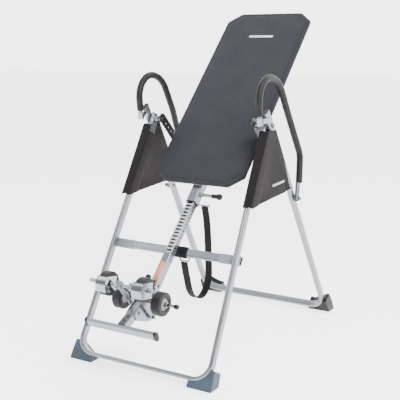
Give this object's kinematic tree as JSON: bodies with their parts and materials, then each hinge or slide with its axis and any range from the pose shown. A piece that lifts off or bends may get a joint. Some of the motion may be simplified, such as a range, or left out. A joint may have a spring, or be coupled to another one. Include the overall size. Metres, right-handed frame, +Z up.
{
  "type": "inversion table",
  "caption": "Folding A-frame inversion table with a tilting padded backrest, foam hand loops, side covers, a height-adjustable boom, foam ankle rollers and a foot bar.",
  "frame": {"origin": "on the floor, under the middle of the object's bounding box", "axes": "+X to the right as seen by someone who stands at the foot end and faces the backrest; +Y from the foot end to the head end; +Z up"},
  "size_m": [0.78, 1.3863, 1.5494],
  "materials": {
    "frame_paint": "satin",
    "handle_paint": "satin",
    "dark_paint": "satin",
    "grey_plastic": "satin",
    "slate_plastic": "satin",
    "black_plastic": "satin",
    "bushing_nylon": "satin",
    "zinc_steel": "satin",
    "chrome_steel": "polished",
    "grip_foam": "matte",
    "roller_foam": "matte",
    "stop_rubber": "matte",
    "cover_fabric": "matte",
    "strap_webbing": "matte",
    "pad_vinyl": "matte",
    "board_wood": "matte"
  },
  "bodies": {
    "frame": {"front_leg_frame": "frame_paint", "front_foot_left": "slate_plastic", "front_foot_right": "slate_plastic", "front_leg_plugs": "black_plastic", "pivot_housing_left": "frame_paint", "pivot_housing_right": "frame_paint", "pivot_bushings": "bushing_nylon", "hinge_bolts": "zinc_steel", "crossbar": "frame_paint", "crossbar_sleeves": "grey_plastic", "crossbar_stop": "stop_rubber", "crossbar_bolts": "zinc_steel", "strap_anchor": "zinc_steel", "side_cover_left": "cover_fabric", "side_cover_right": "cover_fabric", "tether_strap": "strap_webbing"},
    "rear_frame": {"rear_leg_frame": "frame_paint", "rear_foot_left": "black_plastic", "rear_foot_right": "black_plastic", "rear_leg_plugs": "black_plastic", "handle_bracket_left": "chrome_steel", "handle_bracket_right": "chrome_steel", "handle_tube_left": "handle_paint", "handle_tube_right": "handle_paint", "handle_grip_left": "grip_foam", "handle_grip_right": "grip_foam", "handle_bolts": "zinc_steel"},
    "table": {"pad_cushion": "pad_vinyl", "pad_board": "board_wood", "main_beam": "frame_paint", "beam_liner": "black_plastic", "side_beams": "frame_paint", "pivot_arm_left": "dark_paint", "pivot_arm_right": "dark_paint", "pivot_pins": "zinc_steel", "strap_loop": "zinc_steel", "pin_housing": "chrome_steel"},
    "height_pin": {"height_pin": "chrome_steel", "height_pin_knob": "black_plastic"},
    "boom": {"boom_tube": "frame_paint", "boom_plug": "black_plastic", "foot_bracket_left": "frame_paint", "foot_bracket_right": "frame_paint", "foot_post": "frame_paint", "footrest_bar": "frame_paint", "footrest_caps": "black_plastic", "boom_bolts": "zinc_steel", "rear_axle": "chrome_steel", "rear_axle_caps": "black_plastic"},
    "release_lever": {"release_lever": "black_plastic"},
    "ankle_clamp": {"clamp_arm_left": "frame_paint", "clamp_arm_right": "frame_paint", "clamp_bolt": "zinc_steel", "front_axle": "chrome_steel", "roller_guard_left": "chrome_steel", "roller_guard_right": "chrome_steel"},
    "front_roller_left": {"front_roller_left": "roller_foam"},
    "front_roller_right": {"front_roller_right": "roller_foam"},
    "rear_roller_left": {"rear_roller_left": "roller_foam"},
    "rear_roller_right": {"rear_roller_right": "roller_foam"}
  },
  "joints": [
    {"name": "rear_frame_fold", "type": "hinge", "parent": "frame", "child": "rear_frame", "pos_m": [0, 0.018, 1.034], "axis": [-1, 0, 0], "range_deg": [0, 50], "deforming": ["side_cover_left", "side_cover_right"]},
    {"name": "table_tilt", "type": "hinge", "parent": "frame", "child": "table", "pos_m": [0, 0.018, 1.034], "axis": [-1, 0, 0], "range_deg": [0, 112], "deforming": ["tether_strap"]},
    {"name": "boom_slide", "type": "slide", "parent": "table", "child": "boom", "axis": [0, 0.6997, 0.7145], "range_m": [-0.0367, 0.1835]},
    {"name": "height_pin_pull", "type": "slide", "parent": "table", "child": "height_pin", "axis": [1, 0, 0], "range_m": [0, 0.012], "stiffness_N_per_m": 500, "springref_m": -0.01},
    {"name": "release_lever_turn", "type": "hinge", "parent": "boom", "child": "release_lever", "pos_m": [0, -0.42462, 0.35754], "axis": [-1, 0, 0], "range_deg": [0, 22], "stiffness_Nm_per_rad": 0.25, "springref_deg": -22.92},
    {"name": "ankle_clamp_open", "type": "hinge", "parent": "boom", "child": "ankle_clamp", "pos_m": [0, -0.4941, 0.23943], "axis": [1, 0, 0], "range_deg": [0, 18]},
    {"name": "front_roller_left_spin", "type": "hinge", "parent": "ankle_clamp", "child": "front_roller_left", "pos_m": [0, -0.63731, 0.40906], "axis": [1, 0, 0], "continuous": true},
    {"name": "front_roller_right_spin", "type": "hinge", "parent": "ankle_clamp", "child": "front_roller_right", "pos_m": [0, -0.63731, 0.40906], "axis": [1, 0, 0], "continuous": true},
    {"name": "rear_roller_left_spin", "type": "hinge", "parent": "boom", "child": "rear_roller_left", "pos_m": [0, -0.5296, 0.32038], "axis": [1, 0, 0], "continuous": true},
    {"name": "rear_roller_right_spin", "type": "hinge", "parent": "boom", "child": "rear_roller_right", "pos_m": [0, -0.5296, 0.32038], "axis": [1, 0, 0], "continuous": true}
  ]
}
